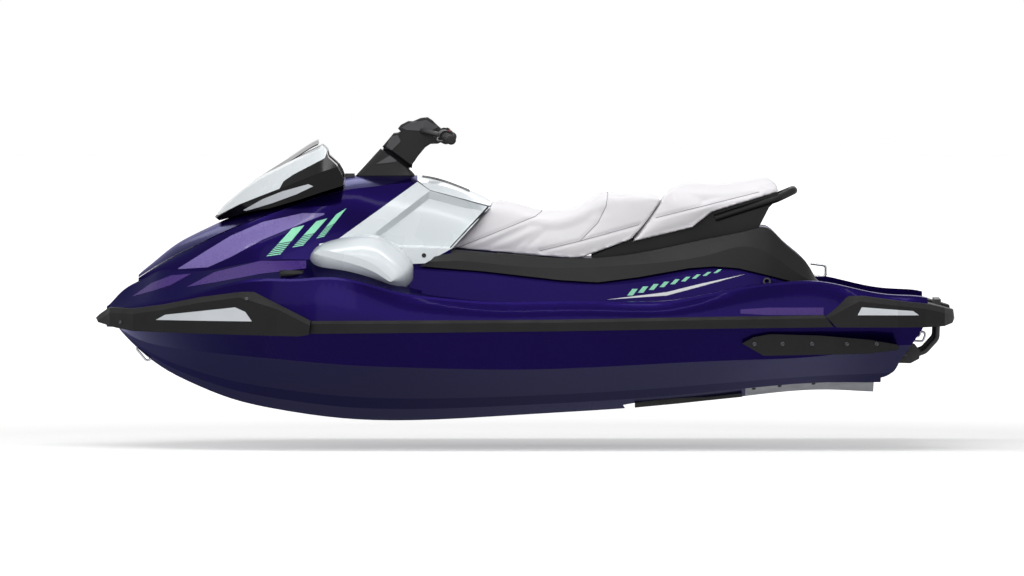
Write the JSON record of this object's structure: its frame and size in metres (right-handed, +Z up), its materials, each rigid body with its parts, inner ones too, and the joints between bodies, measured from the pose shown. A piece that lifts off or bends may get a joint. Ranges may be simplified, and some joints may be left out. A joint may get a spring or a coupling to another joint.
{
  "type": "personal watercraft",
  "caption": "Three-seat jet-driven personal watercraft with a hinged hood, mirrors, handlebar steering, jet pump, reverse bucket and boarding step.",
  "frame": {"origin": "on the waterline, in the middle plane, at mid-length", "axes": "+X towards the bow, +Y to port, +Z up"},
  "size_m": [3.355, 1.229, 1.1877],
  "materials": {
    "purple_gelcoat": "gloss gelcoat",
    "silver_white_panel": "gloss",
    "black_plastic": "textured",
    "trim_plastic": "satin",
    "gloss_black_plastic": "gloss",
    "mirror_glass": "polished",
    "insert_plastic": "satin",
    "seat_vinyl": "grained vinyl",
    "mat_foam": "ribbed foam",
    "grip_rubber": "textured",
    "cast_aluminium": "cast",
    "engine_metal": "cast",
    "painted_steel": "powder coat",
    "bucket_plastic": "moulded",
    "stainless_steel": "polished"
  },
  "bodies": {
    "craft": {"hull": "purple_gelcoat", "deck": "purple_gelcoat", "engine_block": "engine_metal", "cowl": "purple_gelcoat", "storage_tub": "black_plastic", "glovebox_tub": "black_plastic", "console_panels": "silver_white_panel", "side_trims": "trim_plastic", "splash_deflectors": "silver_white_panel", "column_base": "black_plastic", "display": "black_plastic", "front_seat": "seat_vinyl", "rear_seat": "seat_vinyl", "seat_base": "black_plastic", "grab_handle": "black_plastic", "rub_rails": "black_plastic", "front_bumper": "black_plastic", "front_inserts": "insert_plastic", "rear_bumpers": "black_plastic", "rear_inserts": "insert_plastic", "sponsons": "black_plastic", "pump_housing": "cast_aluminium", "bucket_brackets": "cast_aluminium", "ride_plate": "cast_aluminium", "intake_grate": "cast_aluminium", "bow_eye": "stainless_steel", "stern_eyes": "stainless_steel", "tow_eye": "stainless_steel", "bow_cleats": "stainless_steel", "flush_port": "black_plastic", "floor_mats": "mat_foam", "platform_mat": "mat_foam", "step_brackets": "painted_steel", "drain_plugs": "black_plastic"},
    "handlebar_body": {"steering_head": "black_plastic", "steering_stem": "stainless_steel", "handlebar": "painted_steel", "grips": "grip_rubber", "switch_pods": "black_plastic", "levers": "painted_steel"},
    "nozzle_body": {"steering_nozzle": "cast_aluminium"},
    "bucket_body": {"reverse_bucket": "bucket_plastic"},
    "impeller_body": {"impeller": "stainless_steel", "drive_shaft": "stainless_steel"},
    "hood_body": {"hood": "purple_gelcoat", "visor_caps": "silver_white_panel", "mirror_housings": "gloss_black_plastic", "mirror_glass": "mirror_glass", "accent_blades": "insert_plastic", "windshield": "gloss_black_plastic"},
    "lid_body": {"glovebox_lid": "silver_white_panel"},
    "step_body": {"boarding_step": "painted_steel"}
  },
  "joints": [
    {"name": "steering", "type": "hinge", "parent": "craft", "child": "handlebar_body", "pos_m": [0.496, 0, 0.79], "axis": [-0.6032, 0, 0.7976], "range_deg": [-22, 22]},
    {"name": "nozzle_yaw", "type": "hinge", "parent": "craft", "child": "nozzle_body", "pos_m": [-1.272, 0, 0.03], "axis": [0, 0, 1], "range_deg": [-20, 20]},
    {"name": "reverse_swing", "type": "hinge", "parent": "craft", "child": "bucket_body", "pos_m": [-1.272, 0, 0.03], "axis": [0, -1, 0], "range_deg": [0, 68]},
    {"name": "impeller_spin", "type": "hinge", "parent": "craft", "child": "impeller_body", "pos_m": [-1.09, 0, 0.03], "axis": [1, 0, 0], "continuous": true},
    {"name": "hood_lift", "type": "hinge", "parent": "craft", "child": "hood_body", "pos_m": [1.508, 0, 0.322], "axis": [0, 1, 0], "range_deg": [0, 50]},
    {"name": "lid_lift", "type": "hinge", "parent": "craft", "child": "lid_body", "pos_m": [0.416, 0, 0.725], "axis": [0, 1, 0], "range_deg": [0, 38]},
    {"name": "step_fold", "type": "hinge", "parent": "craft", "child": "step_body", "pos_m": [-1.53, 0, 0.03], "axis": [0, -1, 0], "range_deg": [0, 140]}
  ],
  "couplings": [
    {"joint": "nozzle_yaw", "follows": "steering", "ratio": -0.9}
  ]
}
